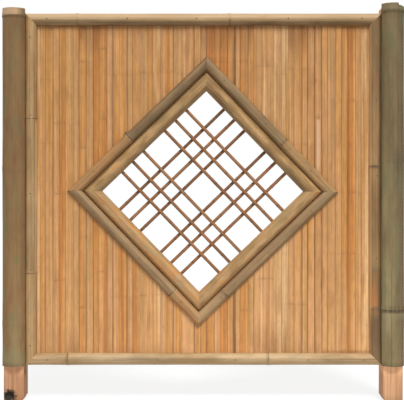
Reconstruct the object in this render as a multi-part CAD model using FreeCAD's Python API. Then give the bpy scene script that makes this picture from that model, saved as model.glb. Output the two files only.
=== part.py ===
import FreeCAD, Part
import math
import os

from collections import namedtuple
from FreeCAD import Vector

# A bamboo fence panel with a diamond window. It stands on the ground at Z = 0 with its
# front to -Y, its left post at -X, and the middle of its length and depth at the origin.
# All sizes are in millimetres.

# Timber posts
POST_SPACING = 1696.0
POST_WIDTH = 90.0
POST_ARRIS = 2.0
POST_TOP_SETBACK = 12.0
FOOT_BEVEL_WIDTH = 14.0
FOOT_BEVEL_HEIGHT = 22.0
KNOT_RADIUS = 22.0
KNOT_DEPTH = 12.0
KNOT_FROM_SIDE = 25.0
KNOT_FROM_GROUND = 25.0

# Split bamboo culms on the front of the posts
CULM_RADIUS = 58.0
CULM_WIDTH = 102.0
CULM_WALL = 11.0
CULM_WEB = 7.0
CULM_RING_RISE = 2.5
CULM_RING_LENGTH = 26.0
CULM_FOOT_CLEARANCE = 163.0
LEFT_CULM_ABOVE_BORDER = 18.0
RIGHT_CULM_ABOVE_BORDER = 39.0
CULM_TOP_ABOVE_RING = 32.0
LEFT_CULM_INTERNODE = 690.0
RIGHT_CULM_INTERNODE = 669.0

# Timber rails between the posts
RAIL_HEIGHT = 65.0
RAIL_DEPTH = 40.0
RAIL_SETBACK = 29.0
MID_RAIL_LAP = 20.0

# Slatted field and the half-round border on it
BORDER_BOTTOM = 163.0
BORDER_TOP = 1743.0
BORDER_SIDE_GAP = 2.0
BORDER_RADIUS = 27.0
BORDER_WALL = 6.0
BORDER_RING_RISE = 1.6
BORDER_RING_LENGTH = 18.0
TOP_TRIM_RINGS = (-118.0, 564.0)
LEFT_TRIM_RINGS = (-316.0, 377.0)
RIGHT_TRIM_RINGS = (-535.0, 102.0)
BOTTOM_TRIM_RINGS = (-608.0, 291.0)
SLAT_COUNT = 53
SLAT_WIDTH_SPREAD = 0.2
SLAT_WIDTH_TURN = 2.4
SLAT_GAP = 1.2
SLAT_SIDE_GAP = 3.0
SLAT_END_COVER = 7.0
SLAT_THICKNESS = 8.0
SLAT_EDGE = 5.5

# Diamond window; its share is that of the bay's width that it takes from corner to corner
WINDOW_LEFT_OFFSET = 2.7
WINDOW_DROP = 9.6
WINDOW_LEAN = 1.1
WINDOW_SHARE = 0.7594
WINDOW_OUT_OF_SQUARE = 5.6
LINING_RADIUS = 30.0
LINING_WALL = 6.0
GROOVE_WIDTH = 4.0
WINDOW_TRIM_RADIUS = 24.0
WINDOW_TRIM_WALL = 5.5
WINDOW_RING_RISE = 1.4
WINDOW_RING_LENGTH = 16.0
BOARD_INSET = 4.0
BOARD_WIDTH = 100.0
BOARD_DEPTH = 32.0
SLAT_CUT_COVER = 3.0

# Lattice of thin bamboo sticks in two layers, with the middle place left out each way
STICK_RADIUS = 7.5
LATTICE_PITCH = 67.0
STICKS_EACH_SIDE = 3
LAYER_GAP = 0.3
HOUSING_LENGTH = 20.0
HOUSING_CLEARANCE = 0.2
HOUSING_END_CLEARANCE = 0.5

# Depths that follow from the sizes above; the front is at -Y
CULM_CENTRE_DEPTH = math.sqrt(CULM_RADIUS**2 - (CULM_WIDTH / 2) ** 2)
CULM_RISE = CULM_RADIUS + CULM_RING_RISE - CULM_CENTRE_DEPTH
POST_BACK_Y = (POST_WIDTH + CULM_RISE) / 2
POST_FRONT_Y = POST_BACK_Y - POST_WIDTH
RAIL_FRONT_Y = POST_FRONT_Y + RAIL_SETBACK
RAIL_BACK_Y = RAIL_FRONT_Y + RAIL_DEPTH
SLAT_FRONT_Y = RAIL_FRONT_Y - SLAT_THICKNESS
BOARD_BACK_Y = RAIL_FRONT_Y + BOARD_DEPTH

# Widths and heights that follow
POST_X = POST_SPACING / 2
BAY_HALF = POST_X - POST_WIDTH / 2
BORDER_HALF_WIDTH = BAY_HALF - BORDER_SIDE_GAP
BORDER_HALF_HEIGHT = (BORDER_TOP - BORDER_BOTTOM) / 2
BORDER_MIDDLE = (BORDER_TOP + BORDER_BOTTOM) / 2
LEFT_CULM_TOP = BORDER_TOP + LEFT_CULM_ABOVE_BORDER
RIGHT_CULM_TOP = BORDER_TOP + RIGHT_CULM_ABOVE_BORDER
SLAT_BOTTOM = BORDER_BOTTOM + SLAT_END_COVER
SLAT_TOP = BORDER_TOP - SLAT_END_COVER

# Middle of the window, and distances from it, square to its sides, that follow
WINDOW_X = -WINDOW_LEFT_OFFSET
WINDOW_Z = BORDER_MIDDLE - WINDOW_DROP
WINDOW_TRIM_OUTER = WINDOW_SHARE * BAY_HALF * math.sqrt(0.5)
WINDOW_TRIM_INNER = WINDOW_TRIM_OUTER - 2 * WINDOW_TRIM_RADIUS
LINING_OUTER = WINDOW_TRIM_INNER - GROOVE_WIDTH
WINDOW_OPENING = LINING_OUTER - 2 * LINING_RADIUS
SLAT_CUT = WINDOW_TRIM_INNER + SLAT_CUT_COVER
BOARD_INNER = WINDOW_OPENING + BOARD_INSET
BOARD_OUTER = BOARD_INNER + BOARD_WIDTH

# Each side of the window: the angle of the way that it faces, and the rings on its trim
WINDOW_SIDE_ANGLES = {"upper_right": 45.0, "upper_left": 135.0, "lower_left": 225.0, "lower_right": 315.0}
WINDOW_TRIM_RINGS = {
    "upper_right": (-94.0,),
    "upper_left": (70.0,),
    "lower_left": (233.0,),
    "lower_right": (-246.0,),
}

# Bamboo stock; a web of 0 is stock with its joints knocked through
Stock = namedtuple("Stock", "radius wall web ring_rise ring_length")
CULM = Stock(CULM_RADIUS, CULM_WALL, CULM_WEB, CULM_RING_RISE, CULM_RING_LENGTH)
BORDER_TRIM = Stock(BORDER_RADIUS, BORDER_WALL, 0, BORDER_RING_RISE, BORDER_RING_LENGTH)
LINING = Stock(LINING_RADIUS, LINING_WALL, 0, WINDOW_RING_RISE, WINDOW_RING_LENGTH)
WINDOW_TRIM = Stock(WINDOW_TRIM_RADIUS, WINDOW_TRIM_WALL, 0, WINDOW_RING_RISE, WINDOW_RING_LENGTH)

ORIGIN = Vector(0, 0, 0)
DEPTH_AXIS = Vector(0, 1, 0)
UPRIGHT_AXIS = Vector(0, 0, 1)


def block(x_range, y_range, z_range):
    """A box between three pairs of limits."""
    size = [high - low for low, high in (x_range, y_range, z_range)]
    return Part.makeBox(*size, Vector(x_range[0], y_range[0], z_range[0]))


def prism(outline, front, back):
    """A front-view outline of (x, z) points, carried from the front depth to the back one."""
    corners = [Vector(x, front, z) for x, z in outline]
    face = Part.Face(Part.makePolygon(corners + corners[:1]))
    return face.extrude(Vector(0, back - front, 0))


def ring_outline(stock, height):
    """The (radius, height) points of a culm's joint: a steep scar below and a long swelling above."""
    return [
        (stock.radius, height - stock.ring_length / 4),
        (stock.radius + stock.ring_rise, height),
        (stock.radius, height + stock.ring_length * 3 / 4),
    ]


def turned(outline, angle):
    """An outline of (radius, height) points turned about the Z axis, from +X towards -Y."""
    corners = [Vector(radius, 0, height) for radius, height in outline]
    face = Part.Face(Part.makePolygon(corners + corners[:1]))
    return face.revolve(ORIGIN, -UPRIGHT_AXIS, angle)


def split_culm(stock, width, ends, rings):
    """Bamboo split along its grain: flat side on y = 0, round side to -Y, hollow between its webs.

    The culm runs along Z between its ends, with a ring at each height that lies clear of them.
    """
    bottom, top = ends
    radius, bore_radius = stock.radius, stock.radius - stock.wall
    rings = [ring for ring in rings if bottom + stock.ring_length < ring < top - stock.ring_length]
    outline = [(0, bottom), (radius, bottom)]
    for ring in rings:
        outline += ring_outline(stock, ring)
    outline += [(radius, top), (0, top)]
    culm = turned(outline, 180)
    webs = rings if stock.web else []
    starts = [bottom] + [ring + stock.web / 2 for ring in webs]
    stops = [ring - stock.web / 2 for ring in webs] + [top]
    for start, stop in zip(starts, stops):
        bore = [(0, start), (bore_radius, start), (bore_radius, stop), (0, stop)]
        culm = culm.cut(turned(bore, 180))
    flat = math.sqrt(radius**2 - (width / 2) ** 2)
    reach = radius + stock.ring_rise
    culm = culm.common(block((-reach, reach), (-reach, -flat), ends))
    culm.translate(DEPTH_AXIS * flat)
    return culm


def mitred_side(stock, reach, half_length, rings):
    """A half culm as one side of a mitred frame: it runs along Z and faces +X, its outer edge at reach."""
    width, rise = 2 * stock.radius, stock.ring_rise
    culm = split_culm(stock, width, (-half_length - rise, half_length + rise), rings)
    culm.translate(Vector(reach - stock.radius, 0, 0))
    inner, outer = reach - width - rise, reach + rise
    inner_half, outer_half = half_length - width - rise, half_length + rise
    outline = [(inner, -inner_half), (outer, -outer_half), (outer, outer_half), (inner, inner_half)]
    return culm.common(prism(outline, -stock.radius - rise, 0))


def facing(shape, direction, middle):
    """A piece that faces +X, turned to face another way in the front view, and moved to a middle."""
    shape.rotate(ORIGIN, -DEPTH_AXIS, direction)
    shape.translate(middle)
    return shape


def in_window(shape, direction, depth):
    """A piece of the window, turned to its side, with the window's lean, at its depth."""
    return facing(shape, direction - WINDOW_LEAN, Vector(WINDOW_X, depth, WINDOW_Z))


def in_back_layer(direction):
    """Whether the sticks that end in a side facing this way are those of the back layer."""
    return direction % 180 == 45


def window_reach(direction, mean):
    """How far a line round the window lies from its middle on one side; two sides lie further out."""
    return mean + WINDOW_OUT_OF_SQUARE if in_back_layer(direction) else mean - WINDOW_OUT_OF_SQUARE


def diamond(mean, front, back):
    """A four-sided prism on the window's middle, with its lean."""
    right, high = window_reach(45, mean), window_reach(135, mean)
    outline = [(-right, -high), (right, -high), (right, high), (-right, high)]
    return in_window(prism(outline, front, back), 45, 0)


def timber_post(inward, height):
    """A square post at x = 0 with eased edges; its foot is bevelled on the side that faces inward."""
    half = POST_WIDTH / 2
    outline = [
        (-half * inward, 0),
        (half * inward - FOOT_BEVEL_WIDTH * inward, 0),
        (half * inward, FOOT_BEVEL_HEIGHT),
        (half * inward, height),
        (-half * inward, height),
    ]
    post = prism(outline, POST_FRONT_Y, POST_BACK_Y)
    upright = [edge for edge in post.Edges if edge.BoundBox.ZLength > height / 2]
    return post.makeChamfer(POST_ARRIS, upright)


def knot_hollow():
    """The pit that a rotten knot has left in the front of the left foot."""
    middle = Vector(-POST_X - POST_WIDTH / 2 + KNOT_FROM_SIDE, POST_FRONT_Y, KNOT_FROM_GROUND)
    return Part.makeCone(KNOT_RADIUS, 0, KNOT_DEPTH, middle, DEPTH_AXIS)


def posts():
    """The two timber posts and the split culms on their fronts."""
    nodes = {}
    sides = (
        ("left", -1, LEFT_CULM_TOP, LEFT_CULM_INTERNODE),
        ("right", 1, RIGHT_CULM_TOP, RIGHT_CULM_INTERNODE),
    )
    for name, side, culm_top, internode in sides:
        post = timber_post(-side, culm_top - POST_TOP_SETBACK)
        post.translate(Vector(side * POST_X, 0, 0))
        ends = (CULM_FOOT_CLEARANCE, culm_top)
        top_ring = culm_top - CULM_TOP_ABOVE_RING
        joints = int((top_ring - CULM_FOOT_CLEARANCE) / internode) + 1
        rings = [top_ring - step * internode for step in range(joints)]
        culm = split_culm(CULM, CULM_WIDTH, ends, rings[::-1])
        culm.translate(Vector(side * POST_X, POST_FRONT_Y, 0))
        nodes[name + "_post"] = post
        nodes[name + "_post_culm"] = culm
    nodes["left_post"] = nodes["left_post"].cut(knot_hollow())
    return nodes


def rails():
    """The top and bottom rails, and the middle rails notched round the window's corners."""
    depth = (RAIL_FRONT_Y, RAIL_BACK_Y)
    bay = (-BAY_HALF, BAY_HALF)
    boards = diamond(BOARD_OUTER, RAIL_FRONT_Y, RAIL_BACK_Y)
    lap_left = boards.BoundBox.XMin + MID_RAIL_LAP
    lap_right = boards.BoundBox.XMax - MID_RAIL_LAP
    middle = (WINDOW_Z - RAIL_HEIGHT / 2, WINDOW_Z + RAIL_HEIGHT / 2)
    return {
        "top_rail": block(bay, depth, (SLAT_TOP - RAIL_HEIGHT, SLAT_TOP)),
        "bottom_rail": block(bay, depth, (SLAT_BOTTOM, SLAT_BOTTOM + RAIL_HEIGHT)),
        "left_middle_rail": block((-BAY_HALF, lap_left), depth, middle).cut(boards),
        "right_middle_rail": block((lap_right, BAY_HALF), depth, middle).cut(boards),
    }


def border():
    """The four half-round trims round the slatted field."""
    sides = (
        ("right_trim", 0, BORDER_HALF_WIDTH, BORDER_HALF_HEIGHT, RIGHT_TRIM_RINGS),
        ("top_trim", 90, BORDER_HALF_HEIGHT, BORDER_HALF_WIDTH, TOP_TRIM_RINGS),
        ("left_trim", 180, BORDER_HALF_WIDTH, BORDER_HALF_HEIGHT, LEFT_TRIM_RINGS),
        ("bottom_trim", 270, BORDER_HALF_HEIGHT, BORDER_HALF_WIDTH, BOTTOM_TRIM_RINGS),
    )
    middle = Vector(0, SLAT_FRONT_Y, BORDER_MIDDLE)
    nodes = {}
    for name, direction, reach, half_length, rings in sides:
        trim = mitred_side(BORDER_TRIM, reach, half_length, rings)
        nodes[name] = facing(trim, direction, middle)
    return nodes


def stick_places():
    """The places of the lattice sticks, measured from the window's middle."""
    steps = range(-STICKS_EACH_SIDE, STICKS_EACH_SIDE + 1)
    return [step * LATTICE_PITCH for step in steps if step]


def stick_depth(direction):
    """The depth of the middle of the sticks that end in a side facing this way."""
    layer = STICK_RADIUS + LAYER_GAP / 2
    middle = (RAIL_FRONT_Y + BOARD_BACK_Y) / 2
    return middle + layer if in_back_layer(direction) else middle - layer


def window_board(direction):
    """One mitred board of the window, with a housing sawn from its front or back for each stick's end."""
    inner, outer = (window_reach(direction, edge) for edge in (BOARD_INNER, BOARD_OUTER))
    inner_half, outer_half = (window_reach(direction + 90, edge) for edge in (BOARD_INNER, BOARD_OUTER))
    outline = [(inner, -inner_half), (outer, -outer_half), (outer, outer_half), (inner, inner_half)]
    board = prism(outline, RAIL_FRONT_Y, BOARD_BACK_Y)
    half = STICK_RADIUS + HOUSING_CLEARANCE
    depth = stick_depth(direction)
    sawn = (depth - half, BOARD_BACK_Y) if in_back_layer(direction) else (RAIL_FRONT_Y, depth + half)
    for place in stick_places():
        length = (inner, inner + HOUSING_LENGTH)
        board = board.cut(block(length, sawn, (place - half, place + half)))
    return in_window(board, direction, 0)


def window_frame():
    """The boards, half-round linings and half-round trims of the window, side by side."""
    nodes = {}
    for name, direction in WINDOW_SIDE_ANGLES.items():
        lining_reach, lining_half = (window_reach(way, LINING_OUTER) for way in (direction, direction + 90))
        trim_reach, trim_half = (window_reach(way, WINDOW_TRIM_OUTER) for way in (direction, direction + 90))
        lining = mitred_side(LINING, lining_reach, lining_half, ())
        trim = mitred_side(WINDOW_TRIM, trim_reach, trim_half, WINDOW_TRIM_RINGS[name])
        nodes["window_board_" + name] = window_board(direction)
        nodes["window_lining_" + name] = in_window(lining, direction, RAIL_FRONT_Y)
        nodes["window_trim_" + name] = in_window(trim, direction, SLAT_FRONT_Y)
    return nodes


def lattice():
    """The sticks of both layers: rising ones run up to the right, falling ones down to the right."""
    nodes = {}
    for name, direction in (("rising", 45), ("falling", 135)):
        half = window_reach(direction, BOARD_INNER) + HOUSING_LENGTH - HOUSING_END_CLEARANCE
        for number, place in enumerate(stick_places()):
            stick = Part.makeCylinder(STICK_RADIUS, 2 * half, Vector(-half, 0, place), Vector(1, 0, 0))
            node = "lattice_%s_%d" % (name, number + 1)
            nodes[node] = in_window(stick, direction, stick_depth(direction))
    return nodes


def slat(left, width):
    """A full-length slat with a flat back on the rails and a crowned face, its left edge at left."""
    right = left + width
    edge_y = RAIL_FRONT_Y - SLAT_EDGE
    back_left = Vector(left, RAIL_FRONT_Y, SLAT_BOTTOM)
    back_right = Vector(right, RAIL_FRONT_Y, SLAT_BOTTOM)
    face_left = Vector(left, edge_y, SLAT_BOTTOM)
    face_right = Vector(right, edge_y, SLAT_BOTTOM)
    crown = Vector(left + width / 2, SLAT_FRONT_Y, SLAT_BOTTOM)
    edges = [
        Part.LineSegment(face_left, back_left).toShape(),
        Part.LineSegment(back_left, back_right).toShape(),
        Part.LineSegment(back_right, face_right).toShape(),
        Part.Arc(face_right, crown, face_left).toShape(),
    ]
    return Part.Face(Part.Wire(edges)).extrude(UPRIGHT_AXIS * (SLAT_TOP - SLAT_BOTTOM))


def slat_widths():
    """The slats' widths from left to right: uneven, as split, and filling the bay with their gaps."""
    field = 2 * (BAY_HALF - SLAT_SIDE_GAP)
    shares = [1 + SLAT_WIDTH_SPREAD * math.sin(SLAT_WIDTH_TURN * number) for number in range(SLAT_COUNT)]
    unit = (field - SLAT_GAP * (SLAT_COUNT - 1)) / sum(shares)
    return [share * unit for share in shares]


def slats():
    """The slatted field: whole slats beside the window, and those that it cuts, in four groups."""
    hole = diamond(SLAT_CUT, RAIL_FRONT_Y - 2 * SLAT_THICKNESS, RAIL_FRONT_Y)
    nodes = {}
    groups = {}
    whole = {"left": 0, "right": 0}
    left = -BAY_HALF + SLAT_SIDE_GAP
    for width in slat_widths():
        side = "left" if left + width / 2 < WINDOW_X else "right"
        solids = slat(left, width).cut(hole).Solids
        if len(solids) == 1:
            whole[side] += 1
            nodes["slat_%s_%d" % (side, whole[side])] = solids[0]
        else:
            for solid in solids:
                place = "above" if solid.CenterOfMass.z > WINDOW_Z else "below"
                groups.setdefault("slats_%s_window_%s" % (place, side), []).append(solid)
        left += width + SLAT_GAP
    for name, solids in groups.items():
        nodes[name] = Part.makeCompound(solids)
    return nodes


def main():
    """Builds every piece and writes one file for each."""
    os.makedirs("parts", exist_ok=True)
    for build in (posts, rails, border, window_frame, lattice, slats):
        for name, shape in build().items():
            shape.exportStep("parts/%s.step" % name)


main()
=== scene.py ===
"""The looks of a bamboo fence panel with a diamond lattice window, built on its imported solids.

The panel faces -Y and stands on the ground at Z = 0. All sizes are in metres.
"""

import logging
import math
import random
from collections.abc import Callable, Iterator, Sequence
from contextlib import contextmanager
from dataclasses import dataclass, field, replace
from enum import Enum
from typing import Optional, Union

import bpy
import numpy as np
from mathutils import Matrix, Vector


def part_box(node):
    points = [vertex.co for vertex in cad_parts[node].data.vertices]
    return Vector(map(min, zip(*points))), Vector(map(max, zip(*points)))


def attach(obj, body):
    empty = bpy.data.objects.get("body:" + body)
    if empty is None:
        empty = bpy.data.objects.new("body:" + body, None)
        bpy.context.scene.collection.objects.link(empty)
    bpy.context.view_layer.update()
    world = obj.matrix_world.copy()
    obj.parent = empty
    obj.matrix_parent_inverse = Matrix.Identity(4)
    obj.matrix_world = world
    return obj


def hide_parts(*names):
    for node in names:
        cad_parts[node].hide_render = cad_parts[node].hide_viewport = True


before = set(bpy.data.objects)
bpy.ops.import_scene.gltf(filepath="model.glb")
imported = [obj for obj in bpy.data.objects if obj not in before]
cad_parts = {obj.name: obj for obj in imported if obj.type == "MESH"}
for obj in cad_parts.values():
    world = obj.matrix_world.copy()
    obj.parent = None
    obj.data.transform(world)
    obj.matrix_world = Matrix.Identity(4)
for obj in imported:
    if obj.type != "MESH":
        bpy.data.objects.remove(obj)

LOG = logging.getLogger("fence_panel")
BODY = "root"
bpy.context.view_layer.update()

Colour = tuple[float, float, float, float]
Point = tuple[float, float, float]
Span = tuple[float, float]
Piece = bpy.types.Object
Socket = bpy.types.NodeSocket
Value = Union[Socket, float, int, Sequence[float]]

WHITE: Colour = (1, 1, 1, 1)
BUMP_STRENGTH = 0.7
SPECULAR = 0.35
MITRE_SPARE = 0.002  # how far a trim runs on before its ends are sawn
JOINT_SHAPE: tuple[Span, ...] = (  # places along a joint in joint lengths, each with its share of the rise
    (-0.75, 0.0), (-0.35, 0.2), (-0.2, 1.0), (-0.08, 0.95), (0.0, 0.35),
    (0.1, 0.6), (0.3, 0.8), (0.7, 0.3), (1.2, 0.0),
)


def tint(red: int, green: int, blue: int) -> Colour:
    """Turns a colour as seen on a screen into the linear one that a shader takes.

    Args:
        red: Red from 0 to 255.
        green: Green from 0 to 255.
        blue: Blue from 0 to 255.

    Returns:
        The linear colour with full alpha.
    """
    linear = []
    for channel in (red, green, blue):
        share = channel / 255
        linear.append(share / 12.92 if share <= 0.04045 else ((share + 0.055) / 1.055) ** 2.4)
    return (*linear, 1.0)


def turned(angle: float) -> Matrix:
    """A turn in the front view, anticlockwise by an angle in degrees."""
    return Matrix.Rotation(-math.radians(angle), 4, "Y")


def rise(values: np.ndarray, start: float, full: float) -> np.ndarray:
    """Shares that go evenly from 0 to 1 as the values go from a start to where the share is full."""
    return np.clip((values - start) / (full - start), 0, 1)


def hump(values: np.ndarray, middle: float, width: float) -> np.ndarray:
    """Shares that are 1 where the values are at a middle, and fade within a width on both sides."""
    return np.exp(-(((values - middle) / width) ** 2))


class Mark(Enum):
    """What the vertices of a piece carry for its finish to read."""

    GRAIN = "grain"  # place in the piece's own axes, with its length along Z
    TONE = "tone"  # from 0 to 1, which of the finish's tones the piece has
    JOINT = "joint"  # 1 at a bamboo joint and 0 between joints
    BARE = "bare"  # 1 where the skin has gone, or where a painted highlight lightens it
    DIRT = "dirt"  # 1 where dirt hides the skin, or where painted shade darkens it


class Named(Enum):
    """An option whose name is part of the names of solids."""

    @property
    def label(self) -> str:
        """The option's name as the solids' names have it."""
        return self.name.lower()


class Side(Named):
    """The two ends of the panel's length."""

    LEFT = -1
    RIGHT = 1


class WindowSide(Named):
    """The sides of the diamond window, each with the angle of the way that it faces."""

    UPPER_RIGHT = 45.0
    UPPER_LEFT = 135.0
    LOWER_LEFT = 225.0
    LOWER_RIGHT = 315.0


class Bench:
    """Modelling steps that the pieces share, each done with Blender's own operators."""

    @staticmethod
    def pick(*pieces: Piece) -> None:
        """Selects these pieces alone, the first of them active.

        Args:
            *pieces: The pieces, or none.
        """
        bpy.ops.object.select_all(action="DESELECT")
        for piece in pieces:
            piece.select_set(True)
        if pieces:
            bpy.context.view_layer.objects.active = pieces[0]

    @staticmethod
    def add(operator: Callable[..., object], name: str, **settings: object) -> Piece:
        """Adds an object.

        Args:
            operator: Blender's operator for it.
            name: The new object's name.
            **settings: What the operator is told.

        Returns:
            The new object.
        """
        Bench.pick()
        operator(**settings)
        added = bpy.context.object
        added.name = name
        return added

    @staticmethod
    @contextmanager
    def edited(piece: Piece, chosen: Optional[np.ndarray] = None) -> Iterator[None]:
        """Opens a piece in edit mode for the steps inside, and closes it after them.

        Args:
            piece: The piece.
            chosen: Whether each vertex is selected. Without it all are.

        Yields:
            Nothing.
        """
        Bench.pick(piece)
        bpy.ops.object.mode_set(mode="EDIT")
        bpy.ops.mesh.select_all(action="SELECT" if chosen is None else "DESELECT")
        if chosen is not None:
            bpy.ops.object.mode_set(mode="OBJECT")
            piece.data.vertices.foreach_set("select", chosen)
            bpy.ops.object.mode_set(mode="EDIT")
        yield
        bpy.ops.object.mode_set(mode="OBJECT")

    @staticmethod
    @contextmanager
    def drawn(name: str, points: Sequence[Point]) -> Iterator[Piece]:
        """Draws a line of edges from point to point, and keeps it in edit mode for the steps inside.

        Args:
            name: The new piece's name.
            points: The points in order.

        Yields:
            The new piece.
        """
        piece = Bench.add(bpy.ops.mesh.primitive_plane_add, name, size=0.001)
        Bench.place(piece, Matrix.Translation(points[0]))
        with Bench.edited(piece):
            bpy.ops.mesh.merge(type="CENTER")
            for start, stop in zip(points, points[1:]):
                step = [there - here for here, there in zip(start, stop)]
                bpy.ops.mesh.extrude_vertices_move(TRANSFORM_OT_translate={"value": step})
            bpy.ops.mesh.select_all(action="SELECT")
            yield piece

    @staticmethod
    def spun(name: str, points: Sequence[Point], angle: float, steps: int) -> Piece:
        """Spins a line about the Z axis into a skin that faces outwards.

        Args:
            name: The new piece's name.
            points: The line's points in order.
            angle: The turn in radians, from +X towards -Y.
            steps: How many strips the skin has round the axis.

        Returns:
            The new piece.
        """
        with Bench.drawn(name, points) as piece:
            bpy.ops.mesh.spin(steps=steps, angle=angle, center=(0, 0, 0), axis=(0, 0, 1))
            bpy.ops.mesh.select_all(action="SELECT")
            bpy.ops.mesh.remove_doubles(threshold=1e-6)
            bpy.ops.mesh.normals_make_consistent(inside=False)
        if sum(face.normal.xy.dot(face.center.xy) for face in piece.data.polygons) < 0:
            with Bench.edited(piece):
                bpy.ops.mesh.flip_normals()
        return piece

    @staticmethod
    def saw(piece: Piece, point: Sequence[float], normal: Sequence[float]) -> None:
        """Saws off what lies beyond a plane, on the side that its normal points to, and closes the cut."""
        with Bench.edited(piece):
            bpy.ops.mesh.bisect(plane_co=point, plane_no=normal, use_fill=True, clear_outer=True)
            # One face for each cut, because the fill's own faces can differ from run to run.
            bpy.ops.mesh.dissolve_faces()

    @staticmethod
    def modify(piece: Piece, kind: str, **settings: object) -> None:
        """Adds a modifier and applies it.

        Args:
            piece: The piece.
            kind: The modifier's type.
            **settings: Its settings.
        """
        Bench.pick(piece)
        bpy.ops.object.modifier_add(type=kind)
        modifier = piece.modifiers[-1]
        for key, value in settings.items():
            setattr(modifier, key, value)
        bpy.ops.object.modifier_apply(modifier=modifier.name)

    @staticmethod
    def roughen(piece: Piece, name: str, size: float, depth: float, **settings: object) -> None:
        """Makes a piece uneven with clouds.

        Args:
            piece: The piece in its place.
            name: The clouds' name.
            size: The clouds' size.
            depth: How far the unevenness goes.
            **settings: Other settings of the modifier.
        """
        clouds = bpy.data.textures.get(name) or bpy.data.textures.new(name, "CLOUDS")
        clouds.noise_scale = size
        Bench.modify(piece, "DISPLACE", texture=clouds, texture_coords="LOCAL", strength=depth, **settings)

    @staticmethod
    def place(piece: Piece, matrix: Matrix) -> None:
        """Moves a piece from its own axes to its place, and leaves its object at the origin.

        Args:
            piece: The piece.
            matrix: Its place, turn and scale.
        """
        Bench.pick(piece)
        piece.matrix_world = matrix
        bpy.ops.object.transform_apply(location=True, rotation=True, scale=True)

    @staticmethod
    def copy(piece: Piece, name: str) -> Piece:
        """Copies a piece, with a mesh of its own.

        Args:
            piece: The piece.
            name: The copy's name.

        Returns:
            The copy.
        """
        twin = bpy.data.objects.new(name, piece.data.copy())
        bpy.context.scene.collection.objects.link(twin)
        return twin

    @staticmethod
    def join(pieces: Sequence[Piece], name: str) -> Piece:
        """Joins pieces into one object.

        Args:
            pieces: The pieces.
            name: The object's name.

        Returns:
            The object.
        """
        Bench.pick(*pieces)
        if len(pieces) > 1:
            bpy.ops.object.join()
        joined = bpy.context.object
        joined.name = name
        return joined

    @staticmethod
    def scrap(*pieces: Piece) -> None:
        """Deletes pieces that were only patterns or cutters."""
        Bench.pick(*pieces)
        bpy.ops.object.delete()

    @staticmethod
    def soften(piece: Piece, degrees: float = 32.0) -> None:
        """Shades a piece smooth, apart from edges that turn by more than an angle."""
        Bench.pick(piece)
        bpy.ops.object.shade_smooth_by_angle(angle=math.radians(degrees))

    @staticmethod
    def places(piece: Piece) -> np.ndarray:
        """The places of a piece's vertices.

        Args:
            piece: The piece.

        Returns:
            One row for each vertex.
        """
        flat = np.empty(len(piece.data.vertices) * 3, np.float32)
        piece.data.vertices.foreach_get("co", flat)
        return flat.reshape(-1, 3).astype(float)

    @staticmethod
    def mark(piece: Piece, marks: dict[Mark, Union[np.ndarray, float]]) -> None:
        """Writes marks on a piece's vertices.

        Args:
            piece: The piece.
            marks: For each mark one number for every vertex, or one for all. The grain has rows of three.
        """
        layers, count = piece.data.attributes, len(piece.data.vertices)
        for mark, values in marks.items():
            kind, key, shape = "FLOAT", "value", (count,)
            if mark is Mark.GRAIN:
                kind, key, shape = "FLOAT_VECTOR", "vector", (count, 3)
            layer = layers.get(mark.value) or layers.new(mark.value, kind, "POINT")
            layer.data.foreach_set(key, np.broadcast_to(values, shape).astype(np.float32).ravel())


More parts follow.
